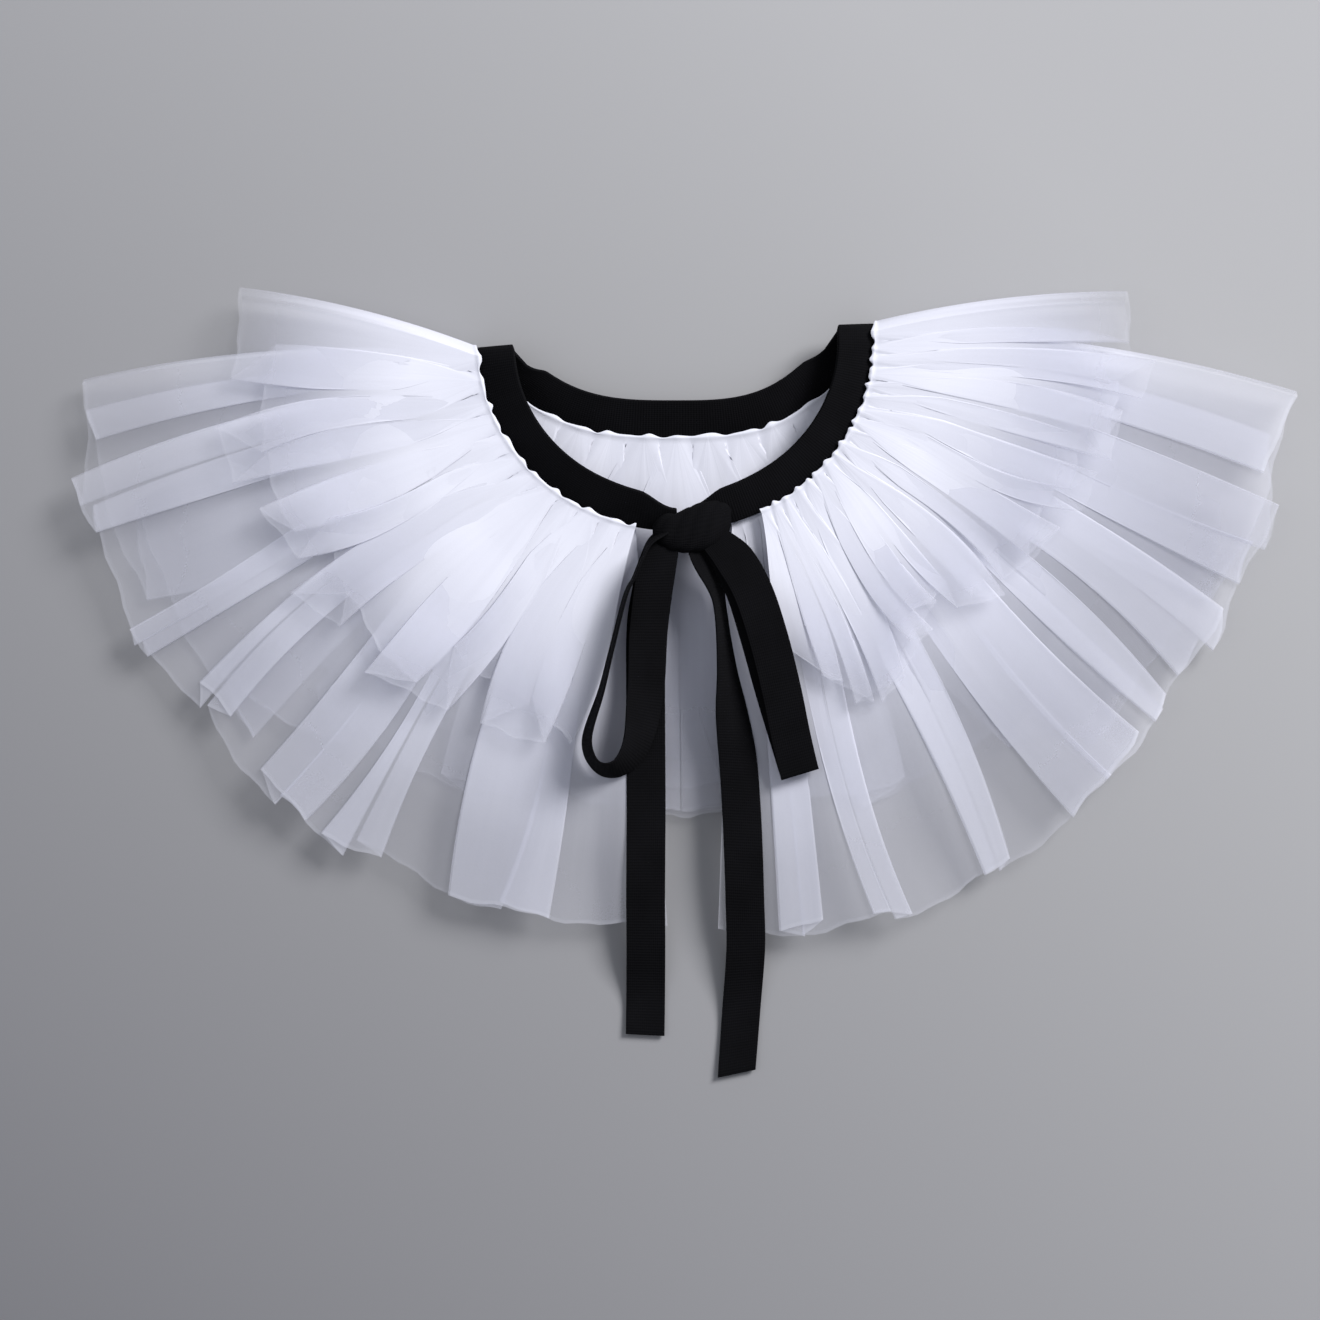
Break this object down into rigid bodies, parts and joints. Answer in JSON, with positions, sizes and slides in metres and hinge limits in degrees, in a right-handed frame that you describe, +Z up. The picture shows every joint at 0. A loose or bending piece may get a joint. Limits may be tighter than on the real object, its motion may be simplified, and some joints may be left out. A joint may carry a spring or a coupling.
{
  "type": "detachable collar",
  "caption": "Detachable two-tier gathered tulle collar laid flat, with a tape neckband whose long ends are tied in a front bow.",
  "frame": {"origin": "middle of the laid-out collar, on the surface it lies on", "axes": "+X to the right and +Y towards the neck as seen from above, +Z up off the surface"},
  "size_m": [0.472, 0.3052, 0.0302],
  "materials": {
    "tulle": "fine sheer net, soft satin glint",
    "tape": "matte woven tape"
  },
  "bodies": {
    "root": {"long_tier": "tulle", "short_tier": "tulle", "neckband": "tape", "knot": "tape", "loop_left": "tape", "loop_right": "tape", "tail_left": "tape", "tail_right": "tape"}
  },
  "joints": []
}
